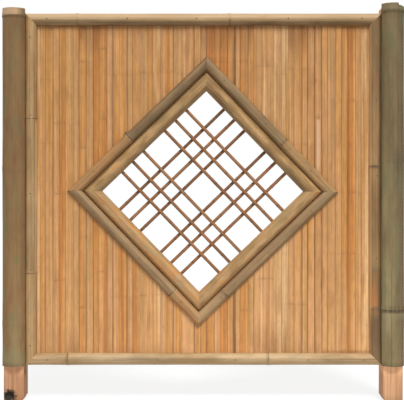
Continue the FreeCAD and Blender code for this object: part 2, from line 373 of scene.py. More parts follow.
class Graph:
    """The nodes of a material or of the world, wired by short calls."""

    def __init__(self, owner: Union[bpy.types.Material, bpy.types.World]) -> None:
        """Takes up the nodes of their owner.

        Args:
            owner: The material or the world.
        """
        owner.use_nodes = True
        self.owner = owner
        self.tree = owner.node_tree

    def feed(self, socket: Socket, value: Value) -> None:
        """Gives a socket its value.

        Args:
            socket: The socket.
            value: Another socket to link it to, or a value of its own.
        """
        if isinstance(value, Socket):
            self.tree.links.new(value, socket)
        else:
            socket.default_value = value

    def node(self, kind: str, *inputs: Value, **settings: object) -> bpy.types.Node:
        """Adds a node.

        Args:
            kind: Its type.
            *inputs: The values of its first inputs, in order.
            **settings: Its settings.

        Returns:
            The node.
        """
        node = self.tree.nodes.new("ShaderNode" + kind)
        for key, value in settings.items():
            setattr(node, key, value)
        for socket, value in zip(node.inputs, inputs):
            self.feed(socket, value)
        return node

    def read(self, mark: Mark) -> Socket:
        """A mark that the piece's vertices carry."""
        node = self.node("Attribute", attribute_name=mark.value)
        return node.outputs["Vector" if mark is Mark.GRAIN else "Fac"]

    def part(self, vector: Socket, axis: str) -> Socket:
        """One of a vector's three numbers."""
        return self.node("SeparateXYZ", vector).outputs[axis]

    def facing(self, axis: str) -> Socket:
        """How far a face looks along an axis."""
        return self.part(self.node("NewGeometry").outputs["True Normal"], axis)

    def math(self, operation: str, first: Value, second: Value = 0.0) -> Socket:
        """The result of a sum on one or two numbers."""
        return self.node("Math", first, second, operation=operation).outputs[0]

    def vector(self, operation: str, first: Value, second: Value) -> Socket:
        """The result of a sum on two vectors: a vector, or the distance between them."""
        node = self.node("VectorMath", first, second, operation=operation)
        return node.outputs["Value" if operation == "DISTANCE" else "Vector"]

    def noise(self, place: Value, size: Point, seed: Value, detail: float) -> Socket:
        """A cloudy number from 0 to 1.

        Args:
            place: Where on the piece.
            size: How many clouds there are to a metre each way.
            seed: A number that gives each use clouds of its own.
            detail: How many times finer clouds are laid over them.

        Returns:
            The number's socket.
        """
        scaled = self.vector("MULTIPLY", place, size)
        return self.node("TexNoise", scaled, seed, 1.0, detail, noise_dimensions="4D").outputs["Fac"]

    def spread(self, value: Value, low: float, high: float, start: float, stop: float) -> Socket:
        """A number taken smoothly from the range low to high to the range start to stop, and held there."""
        node = self.node("MapRange", value, low, high, start, stop, interpolation_type="SMOOTHSTEP")
        return node.outputs["Result"]

    def ramp(self, value: Value, colours: Sequence[Colour]) -> Socket:
        """A colour from a row of evenly spaced ones.

        Args:
            value: The place in the row, from 0 to 1.
            colours: The row.

        Returns:
            The colour's socket.
        """
        node = self.node("ValToRGB", value)
        stops = node.color_ramp.elements
        while len(stops) < len(colours):
            stops.new(0.5)
        for number, colour in enumerate(colours):
            stops[number].position = number / (len(colours) - 1)
            stops[number].color = colour
        return node.outputs["Color"]

    def blend(self, share: Value, first: Value, second: Value, kind: str = "MIX") -> Socket:
        """Lays one colour on another.

        Args:
            share: How much of the second colour is laid on.
            first: The colour below.
            second: The colour on top.
            kind: How it is laid on.

        Returns:
            The new colour's socket.
        """
        node = self.node("Mix", share, data_type="RGBA", blend_type=kind)
        self.feed(node.inputs[6], first)
        self.feed(node.inputs[7], second)
        return node.outputs[2]

    def shade(self, colour: Value, factor: Value) -> Socket:
        """A colour made darker or lighter by a factor."""
        return self.blend(1.0, colour, factor, "MULTIPLY")

    def finish(
        self, colour: Value, roughness: Value, height: Value, relief: float, metallic: float = 0.0
    ) -> bpy.types.Material:
        """Wires the shader.

        Args:
            colour: The surface's colour.
            roughness: How matt it is.
            height: Its fine relief, from 0 to 1.
            relief: How deep the relief is.
            metallic: How much of it shines like metal.

        Returns:
            The finished material.
        """
        shader, bump = self.tree.nodes["Principled BSDF"].inputs, self.node("Bump")
        for socket, value in (
            (bump.inputs["Height"], height),
            (bump.inputs["Distance"], relief),
            (bump.inputs["Strength"], BUMP_STRENGTH),
            (shader["Base Color"], colour),
            (shader["Roughness"], roughness),
            (shader["Metallic"], metallic),
            (shader["Specular IOR Level"], SPECULAR),
            (shader["Normal"], bump.outputs["Normal"]),
        ):
            self.feed(socket, value)
        return self.owner


@dataclass(frozen=True)
class BambooFinish:
    """The skin of bamboo: long fibres, stains, joints, the bare wood where it is worn away, dirt, and painted
    highlights and painted shade where the pieces are marked for them.

    Sizes of clouds say how many there are to a metre each way.
    """

    name: str
    tones: tuple[Colour, ...]
    stain_and_shade: Colour
    joint: Colour
    # the colour of bare skin, also laid on as a painted highlight
    bare: Colour = tint(206, 172, 130)
    inner: Colour = tint(206, 176, 132)
    mould: Colour = tint(112, 116, 84)
    # the colour of dirt, also laid on as painted shade
    dirt: Colour = tint(84, 68, 48)
    shade: Span = (0.78, 1.16)
    stain_share: float = 0.4
    mould_share: float = 0.0
    bands: float = 0.08
    smudge: float = 0.05
    drift: float = 0.35
    roughness: Span = (0.42, 0.62)
    relief: float = 0.0006
    patch: Point = (16, 16, 3.2)
    streak: Point = (150, 150, 1.6)
    fibre: Point = (820, 820, 8)
    spots: Point = (70, 70, 26)
    clouds: Point = (24, 24, 6)
    band_clouds: Point = (95, 95, 0.9)
    smudge_clouds: Point = (60, 60, 22)
    mould_clouds: Point = (34, 34, 9)

    def material(self) -> bpy.types.Material:
        """Makes the procedural material.

        Returns:
            The material.
        """
        graph = Graph(bpy.data.materials.new(self.name))
        grain, tone = graph.read(Mark.GRAIN), graph.read(Mark.TONE)
        streak = graph.noise(grain, self.streak, 0.0, 4.0)
        fibre = graph.noise(grain, self.fibre, 0.0, 2.0)
        patch = graph.noise(grain, self.patch, 0.0, 3.0)
        spots = graph.noise(grain, self.spots, 7.0, 4.0)
        clouds = graph.noise(grain, self.clouds, 19.0, 4.0)
        shift = graph.spread(patch, 0.2, 0.8, -self.drift, self.drift)
        colour = graph.ramp(graph.math("ADD", tone, shift), self.tones)
        colour = graph.shade(colour, graph.spread(streak, 0.3, 0.7, *self.shade))
        colour = graph.shade(colour, graph.spread(fibre, 0.25, 0.75, 0.9, 1.08))
        band = graph.noise(grain, self.band_clouds, 11.0, 1.0)
        colour = graph.shade(colour, graph.spread(band, 0.35, 0.65, 1 - self.bands, 1 + self.bands))
        smudge = graph.noise(grain, self.smudge_clouds, 5.0, 2.0)
        colour = graph.shade(colour, graph.spread(smudge, 0.3, 0.7, 1 - self.smudge, 1 + self.smudge))
        colour = graph.blend(graph.spread(clouds, 0.52, 0.7, 0.0, self.stain_share), colour, self.stain_and_shade)
        if self.mould_share:
            mould = graph.noise(grain, self.mould_clouds, 31.0, 5.0)
            colour = graph.blend(graph.spread(mould, 0.48, 0.66, 0.0, self.mould_share), colour, self.mould)
        colour = graph.blend(graph.spread(spots, 0.66, 0.74, 0.0, 0.5), colour, self.stain_and_shade)
        # Joints; bare skin and painted highlights; dirt and painted shade: each laid on where the piece is
        # marked for it.
        for mark, share, over in (
            (Mark.JOINT, graph.spread(spots, 0.35, 0.6, 0.35, 0.85), self.joint),
            (Mark.BARE, graph.spread(patch, 0.25, 0.75, 0.65, 1.0), self.bare),
            (Mark.DIRT, graph.spread(clouds, 0.3, 0.65, 0.6, 1.0), self.dirt),
        ):
            colour = graph.blend(graph.math("MULTIPLY", graph.read(mark), share), colour, over)
        colour = graph.blend(graph.spread(graph.facing("Y"), 0.6, 0.9, 0.0, 0.85), colour, self.inner)
        roughness = graph.spread(clouds, 0.3, 0.7, *self.roughness)
        height = graph.math("MULTIPLY", graph.math("ADD", fibre, streak), 0.5)
        return graph.finish(colour, roughness, height, self.relief)


@dataclass(frozen=True)
class TimberFinish:
    """Sawn softwood: growth rings, fibres, grey weathering, a rotten knot where there is one, darker towards
    the ground, and painted light and shade: lighter sideways faces, a painted light on the top of the foot,
    and a painted shadow at one place.
    """

    name: str
    early: Colour
    late: Colour
    weather: Colour
    rot: Colour = tint(52, 42, 33)
    knot: Optional[Point] = None
    knot_reach: float = 0.035
    knot_ragged: float = 0.012
    # the middle of a painted shadow, where there is one, and the distances over which it fades
    stain_and_shade: Optional[Point] = None
    shade_reach: Span = (0.02, 0.036)
    # the height below which the timber turns darker towards the ground
    darker_below: float = 0.045
    painted_light: float = 1.0  # how much lighter the top of the foot is painted: painted light against the culm's shadow on it
    painted_light_line: Span = (0.103, 0.158)
    relief: float = 0.0008

    def material(self) -> bpy.types.Material:
        """Makes the procedural material.

        Returns:
            The material.
        """
        graph = Graph(bpy.data.materials.new(self.name))
        grain, tone = graph.read(Mark.GRAIN), graph.read(Mark.TONE)
        place = graph.node("TexCoord").outputs["Object"]
        above = graph.part(place, "Z")
        seed = graph.math("MULTIPLY", tone, 29.0)
        flat = graph.vector("MULTIPLY", grain, (1.0, 1.0, 0.05))
        wave = graph.node("TexWave", flat, 34.0, 5.0, 3.0, 1.2, wave_type="RINGS", rings_direction="Z")
        rings = wave.outputs["Fac"]
        fibre = graph.noise(grain, (520, 520, 9), seed, 3.0)
        patch = graph.noise(grain, (11, 11, 3.5), seed, 4.0)
        colour = graph.blend(graph.spread(rings, 0.45, 1.0, 0.0, 0.75), self.early, self.late)
        colour = graph.shade(colour, graph.spread(fibre, 0.25, 0.75, 0.84, 1.1))
        colour = graph.blend(graph.spread(patch, 0.45, 0.72, 0.0, 0.55), colour, self.weather)
        colour = graph.shade(colour, graph.spread(tone, 0.0, 1.0, 1.07, 0.95))
        colour = graph.blend(graph.spread(tone, 0.1, 1.0, 0.0, 0.38), colour, self.late, "MULTIPLY")
        # Darker towards the ground.
        colour = graph.shade(colour, graph.spread(above, 0.0, self.darker_below, 0.8, 1.0))
        # Painted light: faces turned sideways are made lighter, against the shade that falls on them.
        side_painted_light = graph.math("ABSOLUTE", graph.facing("X"))
        colour = graph.shade(colour, graph.spread(side_painted_light, 0.3, 0.9, 1.0, 1.12))
        # Painted light on the top of the foot, where the culm above shades it.
        if self.painted_light > 1.0:
            colour = graph.shade(colour, graph.spread(above, *self.painted_light_line, 1.0, self.painted_light))
        # A painted shadow round one place.
        if self.stain_and_shade:
            far = graph.vector("DISTANCE", place, self.stain_and_shade)
            colour = graph.shade(colour, graph.spread(far, *self.shade_reach, 0.45, 1.0))
        if self.knot:
            ragged = graph.noise(place, (70, 70, 70), 3.0, 4.0)
            ragged = graph.spread(ragged, 0.2, 0.8, -self.knot_ragged, self.knot_ragged)
            far = graph.math("ADD", graph.vector("DISTANCE", place, self.knot), ragged)
            rotten = graph.spread(far, 0.55 * self.knot_reach, 1.15 * self.knot_reach, 1.0, 0.0)
            colour = graph.blend(rotten, colour, self.rot)
        height = graph.math("ADD", graph.math("MULTIPLY", fibre, 0.7), graph.math("MULTIPLY", rings, 0.3))
        return graph.finish(colour, graph.spread(patch, 0.3, 0.7, 0.68, 0.85), height, self.relief)


@dataclass(frozen=True)
class NailFinish:
    """Steel nail heads gone dull and brown."""

    name: str = "dull_nails"
    steel: Colour = tint(128, 110, 88)
    rust: Colour = tint(110, 80, 54)
    metallic: float = 0.3
    relief: float = 0.0002

    def material(self) -> bpy.types.Material:
        """Makes the procedural material.

        Returns:
            The material.
        """
        graph = Graph(bpy.data.materials.new(self.name))
        rusty = graph.noise(graph.node("TexCoord").outputs["Object"], (420, 420, 420), 1.0, 3.0)
        colour = graph.blend(graph.spread(rusty, 0.35, 0.65, 0.0, 1.0), self.steel, self.rust)
        roughness = graph.spread(rusty, 0.3, 0.7, 0.55, 0.8)
        return graph.finish(colour, roughness, rusty, self.relief, self.metallic)


LEFT_CULM_FINISH = BambooFinish(
    name="brown_culm",
    tones=(tint(112, 84, 54), tint(132, 100, 63), tint(139, 107, 68), tint(136, 119, 82)),
    stain_and_shade=tint(124, 82, 58),
    joint=tint(84, 64, 42),
    bare=tint(206, 172, 134),
    inner=tint(196, 164, 122),
    mould=tint(112, 110, 72),
    shade=(0.92, 1.06),
    stain_share=0.5,
    mould_share=0.5,
    bands=0.03,
    roughness=(0.55, 0.78),
    relief=0.0009,
)
RIGHT_CULM_FINISH = replace(
    LEFT_CULM_FINISH,
    name="green_culm",
    tones=(tint(100, 84, 59), tint(116, 98, 67), tint(132, 114, 78), tint(146, 131, 93)),
    stain_and_shade=tint(104, 88, 64),
    joint=tint(76, 62, 42),
    bare=tint(158, 146, 112),
    mould=tint(116, 114, 78),
    dirt=tint(70, 56, 38),
    shade=(0.9, 1.08),
    stain_share=0.4,
    bands=0.05,
)
BORDER_FINISH = BambooFinish(
    name="border_bamboo",
    tones=(
        tint(178, 116, 60),
        tint(138, 102, 62),
        tint(164, 128, 84),
        tint(182, 146, 100),
        tint(196, 166, 124),
    ),
    stain_and_shade=tint(134, 110, 74),
    joint=tint(92, 72, 48),
    mould_share=0.25,
    drift=0.25,
)
WINDOW_TRIM_FINISH = BambooFinish(
    name="window_trim_bamboo",
    tones=(
        tint(130, 102, 70),
        tint(150, 119, 82),
        tint(160, 130, 92),
        tint(180, 143, 94),
        tint(176, 130, 82),
    ),
    stain_and_shade=tint(116, 92, 64),
    joint=tint(78, 58, 40),
    bare=tint(186, 152, 112),
    inner=tint(200, 168, 124),
    mould=tint(128, 120, 84),
    mould_share=0.25,
    drift=0.25,
    patch=(24, 24, 7),
)
LINING_FINISH = BambooFinish(
    name="window_lining_bamboo",
    tones=(tint(146, 112, 70), tint(170, 132, 84), tint(188, 150, 104), tint(196, 142, 84)),
    stain_and_shade=tint(138, 100, 60),
    joint=tint(104, 76, 48),
    mould=tint(150, 134, 88),
    mould_share=0.35,
    drift=0.6,
    patch=(30, 30, 10),
)
LATTICE_FINISH = BambooFinish(
    name="lattice_cane",
    tones=(tint(128, 88, 56), tint(148, 98, 58), tint(162, 112, 70), tint(138, 106, 74)),
    stain_and_shade=tint(100, 76, 54),
    joint=tint(84, 58, 38),
    bare=tint(190, 150, 104),
    inner=tint(150, 104, 66),
    drift=0.5,
    patch=(40, 40, 14),
)
SLAT_FINISH = BambooFinish(
    name="slat_bamboo",
    tones=(
        tint(184, 118, 58),
        tint(196, 130, 66),
        tint(202, 146, 80),
        tint(206, 150, 100),
        tint(194, 146, 86),
        tint(208, 155, 108),
        tint(190, 136, 74),
        tint(218, 173, 121),
    ),
    stain_and_shade=tint(164, 114, 64),
    joint=tint(140, 96, 56),
    bare=tint(224, 182, 144),
    inner=tint(214, 182, 136),
    # the colour of the painted shade at the slats' ends and in their seams
    dirt=tint(128, 82, 42),
    shade=(0.82, 1.12),
    stain_share=0.45,
    bands=0.06,
    smudge=0.07,
    drift=0.34,
    roughness=(0.38, 0.58),
    patch=(46, 46, 0.9),
    streak=(105, 105, 1.1),
)
POST_FINISH = TimberFinish(
    name="post_timber",
    early=tint(213, 163, 121),
    late=tint(189, 138, 98),
    weather=tint(196, 158, 124),
    knot=(-0.868, -0.026, 0.028),
    stain_and_shade=(-0.801, 0.004, 0.14),
    painted_light=1.5,
)
FRAME_FINISH = TimberFinish(
    name="frame_timber",
    early=tint(204, 166, 122),
    late=tint(176, 132, 90),
    weather=tint(176, 156, 130),
)


@dataclass
class Dresser:
    """Hands each finished piece its finish, its body and the solid that it stands for."""

    materials: dict[str, bpy.types.Material] = field(default_factory=dict)
    count: int = 0

    def dress(
        self,
        piece: Piece,
        finish: Union[BambooFinish, TimberFinish, NailFinish],
        slot: Optional[str] = None,
        *nodes: str,
    ) -> None:
        """Gives a piece its finish and sets it on the panel.

        Args:
            piece: The piece, in its place.
            finish: What it is finished with.
            slot: Not used.
            *nodes: The solids that it stands for.
        """
        if finish.name not in self.materials:
            self.materials[finish.name] = finish.material()
        piece.data.materials.clear()
        piece.data.materials.append(self.materials[finish.name])
        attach(piece, BODY)
        if nodes:
            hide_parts(*nodes)
        self.count += 1
        LOG.info("%s: %d faces", piece.name, len(piece.data.polygons))


@dataclass
class SplitCane:
    """A length of bamboo split along its grain, with the joints that swell on it.

    In its own axes it runs along Z, its flat side lies on y = 0 and its round side faces -Y.
    """

    name: str
    radius: float
    wall: float
    ends: Span
    rings: tuple[float, ...]
    ring_rise: float
    ring_length: float
    width: float = 0.0  # of the flat side; 0 is a full half
    station: float = 0.03
    steps: int = 32
    waist: float = 0.0005
    tone: float = 0.5
    sections: tuple[float, ...] = ()  # the tones between the rings, where they differ
    faint: tuple[float, ...] = ()  # the rings that hardly show
    faint_rise: float = 0.35
    faint_mark: float = 0.15
    foot: float = 0.0  # how dark the lower end is

    @property
    def flat(self) -> float:
        """How far the cane's middle lies behind its flat side."""
        return math.sqrt(self.radius**2 - (self.width / 2) ** 2) if self.width else 0.0

    def outline(self) -> list[Span]:
        """Draws half of the cane's length section.

        Returns:
            The (radius, height) points from its bottom to its top, close together at each joint, which has a
            sharp scar, a groove and a long swelling.
        """
        low, high = self.ends
        count = max(2, round((high - low) / self.station))
        points = {low + (high - low) * number / count: 0.0 for number in range(count + 1)}
        for ring in self.rings:
            clear = 1.3 * self.ring_length
            for height in list(points):
                if abs(height - ring) < clear and height not in self.ends:
                    del points[height]
            share = self.faint_rise if ring in self.faint else 1.0
            for along, lift in JOINT_SHAPE:
                points[ring + along * self.ring_length] = share * lift * self.ring_rise
        stops = sorted((low,) + self.rings + (high,))
        outline = []
        for height in sorted(points):
            below = max((stop for stop in stops if stop <= height), default=low)
            above = min((stop for stop in stops if stop > height), default=high)
            share = (height - below) / max(1e-6, above - below)
            outline.append((self.radius + points[height] - self.waist * math.sin(math.pi * share), height))
        return outline

    def skin(self, turn: float = math.pi, closed: bool = False) -> Piece:
        """Spins the cane's outer skin.

        Args:
            turn: How far round it goes, in radians.
            closed: Whether its ends are closed.

        Returns:
            The skin, with its middle on the Z axis.
        """
        points = [(radius, 0.0, height) for radius, height in self.outline()]
        if closed:
            points = [(0.0, 0.0, self.ends[0]), *points, (0.0, 0.0, self.ends[1])]
        return Bench.spun(self.name, points, turn, self.steps)

    def thicken(self, piece: Piece) -> None:
        """Gives the skin its wall, cuts its flat side, and marks it for its finish.

        Args:
            piece: The open skin.
        """
        Bench.modify(piece, "SOLIDIFY", thickness=self.wall, offset=-1.0)
        if self.flat:
            Bench.place(piece, Matrix.Translation((0, self.flat, 0)))
            Bench.saw(piece, (0, 0, 0), (0, 1, 0))
        self.mark(piece)

    def mark(self, piece: Piece) -> None:
        """Marks a piece's grain, tone and joints.

        Args:
            piece: The piece, in the cane's own axes.
        """
        places = Bench.places(piece)
        along = places[:, 2]
        dice = random.Random(self.name)
        shift = [dice.uniform(-3, 3) for _ in range(3)]
        joint = self.foot * rise(along, self.ends[0] + 0.007, self.ends[0] + 0.001)
        for ring in self.rings:
            away = (along - ring) / self.ring_length
            line = hump(away, 0.02, 0.17) + 0.45 * hump(away, -0.45, 0.2)
            joint = np.maximum(joint, line * (self.faint_mark if ring in self.faint else 1.0))
        tone = np.array(self.sections)[np.searchsorted(self.rings, along)] if self.sections else self.tone
        joint = np.clip(joint, 0, 1)
        Bench.mark(piece, {Mark.GRAIN: places + shift, Mark.TONE: tone, Mark.JOINT: joint, Mark.BARE: 0.0})

    def ripple(self, piece: Piece, depth: float) -> None:
        """Makes a placed piece uneven by a depth, as grown, and shades it smooth."""
        Bench.roughen(piece, "grown", 0.16, depth)
        Bench.soften(piece)

    def mitre(self, piece: Piece, half_length: float) -> None:
        """Saws both ends at half a right angle; the outer edge, to +X, is the longer one."""
        for way in (1, -1):
            Bench.saw(piece, (self.radius, 0, way * half_length), (-1, 0, way))


@dataclass
class Timber:
    """One sawn timber, made from a copy of its solid."""

    node: str
    arris: float
    pith: Matrix  # its place and turn, with Z along the grain
    tone: float

    def build(self) -> Piece:
        """Copies the solid, makes its faces whole, and eases its edges.

        Returns:
            The new piece.
        """
        piece = Bench.copy(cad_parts[self.node], "fence_" + self.node)
        with Bench.edited(piece):
            bpy.ops.mesh.remove_doubles(threshold=1e-5)
            bpy.ops.mesh.dissolve_limited(angle_limit=math.radians(1.0))
        turn = math.radians(40)
        Bench.modify(piece, "BEVEL", width=self.arris, segments=2, limit_method="ANGLE", angle_limit=turn)
        with Bench.edited(piece):
            bpy.ops.mesh.dissolve_degenerate(threshold=1e-5)
        return piece

    def dress(self, piece: Piece, finish: TimberFinish, slot: str, dresser: Dresser) -> None:
        """Marks a piece's grain and tone, and dresses it.

        Args:
            piece: The piece in its place.
            finish: What it is finished with.
            slot: Not used, only passed on to the dresser.
            dresser: Dresses it.
        """
        back = np.array(self.pith.inverted())
        grain = Bench.places(piece) @ back[:3, :3].T + back[:3, 3]
        Bench.mark(piece, {Mark.GRAIN: grain, Mark.TONE: self.tone})
        Bench.soften(piece, 25)
        dresser.dress(piece, finish, slot, self.node)


@dataclass(frozen=True)
class CulmLook:
    """What sets one culm apart from the other."""

    finish: BambooFinish
    top: float
    rings: tuple[float, ...]
    faint: tuple[float, ...]  # the rings that hardly show
    wear_and_highlight: float  # how bare the skin is above the highest ring
    cracks: tuple[tuple[float, Span], ...]  # each at an angle from the front towards +X, between two heights


@dataclass
class Posts:
    """The timber posts and the split culms on their fronts."""

    dresser: Dresser
    post_x: float = 0.848
    front: float = -0.028561
    arris: float = 0.0016
    tones: dict[Side, float] = field(default_factory=lambda: {Side.LEFT: 0.7, Side.RIGHT: 0.2})
    knot: Point = (-0.866, -0.0286, 0.0265)
    knot_size: Point = (0.0215, 0.0165, 0.021)
    radius: float = 0.058
    width: float = 0.102
    wall: float = 0.011
    bottom: float = 0.163
    web: float = 0.006  # the thickness of the walls across the hollow
    uneven: float = 0.0016
    green: Span = (0.52, 0.22)  # the heights where the left culm starts to turn green and where it has turned
    worn_edge: Span = (0.048, 0.018)  # where the left culm's bare top starts near its right edge, and is full
    crack_depth: float = 0.0022
    chip_height: float = 0.014
    chip_from: float = 0.021  # how far from the culm's middle the chip starts
    chip_left: float = 0.06  # the share of its height that the chipped corner keeps
    culms: dict[Side, CulmLook] = field(
        default_factory=lambda: {
            Side.LEFT: CulmLook(
                finish=LEFT_CULM_FINISH,
                top=1.761,
                rings=(0.349, 1.039, 1.729),
                faint=(0.349, 1.039),
                wear_and_highlight=0.95,
                cracks=((-0.55, (0.9, 1.5)),),
            ),
            Side.RIGHT: CulmLook(
                finish=RIGHT_CULM_FINISH,
                top=1.782,
                rings=(0.412, 1.081, 1.75),
                faint=(1.081,),
                wear_and_highlight=0.35,
                cracks=((0.32, (0.95, 1.79)), (-0.2, (0.15, 0.62))),
            ),
        }
    )

    def build(self) -> None:
        """Builds both posts and culms."""
        for side in Side:
            self.timber(side)
            self.culm(side)

    def timber(self, side: Side) -> None:
        """Builds one post, the left one with the rotten knot.

        Args:
            side: Which post it is.
        """
        pith = Matrix.Translation((side.value * self.post_x + 0.03, 0.05, 0))
        timber = Timber(side.label + "_post", self.arris, pith, self.tones[side])
        piece = timber.build()
        if side is Side.LEFT:
            self.hollow_knot(piece)
        timber.dress(piece, POST_FINISH, "post_timber", self.dresser)

    def hollow_knot(self, piece: Piece) -> None:
        """Eats the rotten knot out of a post's foot with a rough blob.

        Args:
            piece: The post.
        """
        blob = Bench.add(bpy.ops.mesh.primitive_ico_sphere_add, "knot_blob", subdivisions=5, radius=1.0)
        Bench.place(blob, Matrix.Translation(self.knot) @ Matrix.Diagonal((*self.knot_size, 1)))
        Bench.roughen(blob, "rotten", 0.011, 0.009, mid_level=0.6)
        Bench.modify(piece, "BOOLEAN", operation="DIFFERENCE", solver="EXACT", object=blob)
        Bench.scrap(blob)

    def culm(self, side: Side) -> None:
        """Builds one split culm with its joints, cracks and worn ends.

        Args:
            side: Which culm it is.
        """
        node, look = side.label + "_post_culm", self.culms[side]
        cane = SplitCane(
            name="fence_" + node,
            radius=self.radius,
            wall=self.wall,
            ends=(self.bottom, look.top),
            rings=look.rings,
            ring_rise=0.0024,
            ring_length=0.022,
            width=self.width,
            station=0.025,
            steps=72,
            faint=look.faint,
            foot=0.6,
        )
        skin = cane.skin()
        for angle, span in look.cracks:
            self.crack(skin, angle, span)
        if side is Side.RIGHT:
            self.chip(skin, look.top)
        cane.thicken(skin)
        piece = Bench.join([skin, self.webs(cane)], cane.name)
        places = Bench.places(piece)
        across, height = places[:, 0], places[:, 2]
        bare = look.wear_and_highlight * rise(height, look.rings[-1] - 0.001, look.rings[-1] + 0.002)
        if side is Side.LEFT:
            bare *= np.maximum(0.15, rise(across, *self.worn_edge))
            Bench.mark(piece, {Mark.TONE: 0.5 + 0.48 * rise(height, *self.green), Mark.BARE: bare})
        else:
            # Darker to the right and towards the top.
            tone = np.clip(0.46 - 7.5 * across - 0.16 * (height - 0.8), 0.02, 0.98)
            dark, pale = self.ring_scar(across, height - look.rings[0])
            Bench.mark(piece, {Mark.TONE: tone, Mark.BARE: np.maximum(bare, pale), Mark.DIRT: dark})
        Bench.place(piece, Matrix.Translation((side.value * self.post_x, self.front, 0)))
        cane.ripple(piece, self.uneven)
        self.dresser.dress(piece, look.finish, "culm_bamboo", node)

    def ring_scar(self, across: np.ndarray, above: np.ndarray) -> tuple[np.ndarray, np.ndarray]:
        """Draws a culm's plainest joint: dark dashes, a pale line and a pale patch below it.

        Args:
            across: How far the culm's vertices lie to the right of its middle.
            above: How far they lie above the joint.

        Returns:
            How dark and how pale each vertex is.
        """
        dash = np.where(np.sin(310 * across + 0.8) > -0.35, 1.0, 0.25)
        dark = dash * (hump(above, 0.012, 0.004) + hump(above, -0.002, 0.005))
        line = 0.9 * hump(above, -0.013, 0.004)
        patch = 0.55 * hump(across, -0.026, 0.013) * hump(above, -0.06, 0.032)
        return np.clip(0.85 * dark, 0, 1), np.maximum(line, patch)

    def crack(self, skin: Piece, angle: float, span: Span) -> None:
        """Opens a crack along the open skin of a culm.

        Args:
            skin: The skin, with its middle on the Z axis.
            angle: Where it runs, in radians from the front towards +X.
            span: The heights that it runs between.
        """
        places = Bench.places(skin)
        angles = np.arctan2(places[:, 0], -places[:, 1])
        nearest = angles[np.argmin(np.abs(angles - angle))]
        inside = (np.abs(angles - nearest) < 0.01) & (places[:, 2] > span[0]) & (places[:, 2] < span[1])
        with Bench.edited(skin, inside):
            bpy.ops.transform.shrink_fatten(value=-self.crack_depth)

    def chip(self, skin: Piece, top: float) -> None:
        """Breaks a splinter off the outer top corner of a culm's open skin.

        Args:
            skin: The skin, with its middle on the Z axis.
            top: The height of its top.
        """
        places = Bench.places(skin)
        foot = top - self.chip_height
        with Bench.edited(skin, (places[:, 2] > foot) & (places[:, 0] > self.chip_from)):
            bpy.ops.transform.resize(value=(1, 1, self.chip_left), center_override=(0, 0, foot))

    def webs(self, cane: SplitCane) -> Piece:
        """Builds the walls across the hollow of a culm, one at each joint.

        Args:
            cane: The culm.

        Returns:
            The walls as one piece, in the culm's own axes.
        """
        webs = []
        size = {"vertices": 64, "radius": cane.radius - cane.wall + 0.001, "fill_type": "NGON"}
        for ring in cane.rings:
            web = Bench.add(bpy.ops.mesh.primitive_circle_add, "web", **size)
            Bench.place(web, Matrix.Translation((0, cane.flat, ring)))
            with Bench.edited(web):
                bpy.ops.mesh.inset(thickness=0.006, depth=0.0)
                bpy.ops.mesh.inset(thickness=0.012, depth=-0.003)
            Bench.modify(web, "SOLIDIFY", thickness=self.web, offset=0.0)
            Bench.saw(web, (0, 0, ring), (0, 1, 0))
            cane.mark(web)
            webs.append(web)
        return Bench.join(webs, "webs")


@dataclass
class Rails:
    """The timber behind the slats: two long rails and two short ones."""

    dresser: Dresser
    arris: float = 0.0012
    names: tuple[str, ...] = ("top_rail", "bottom_rail", "left_middle_rail", "right_middle_rail")

    def build(self) -> None:
        """Builds the rails."""
        for number, node in enumerate(self.names):
            low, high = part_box(node)
            pith = Matrix.Translation((0, high.y + 0.03, low.z - 0.02)) @ Matrix.Rotation(math.pi / 2, 4, "Y")
            timber = Timber(node, self.arris, pith, 0.13 + 0.22 * number)
            timber.dress(timber.build(), FRAME_FINISH, "frame_timber", self.dresser)


@dataclass(frozen=True)
class BorderTrim:
    """What sets one trim of the border apart from the others."""

    rings: Span
    tone: float
    dirt: Span  # where the painted shade starts and where it is full, in radii from the middle to the outer edge
    # how dark the painted shade gets
    painted_shade_share: float
    nails: tuple[float, ...]  # their places along the trim


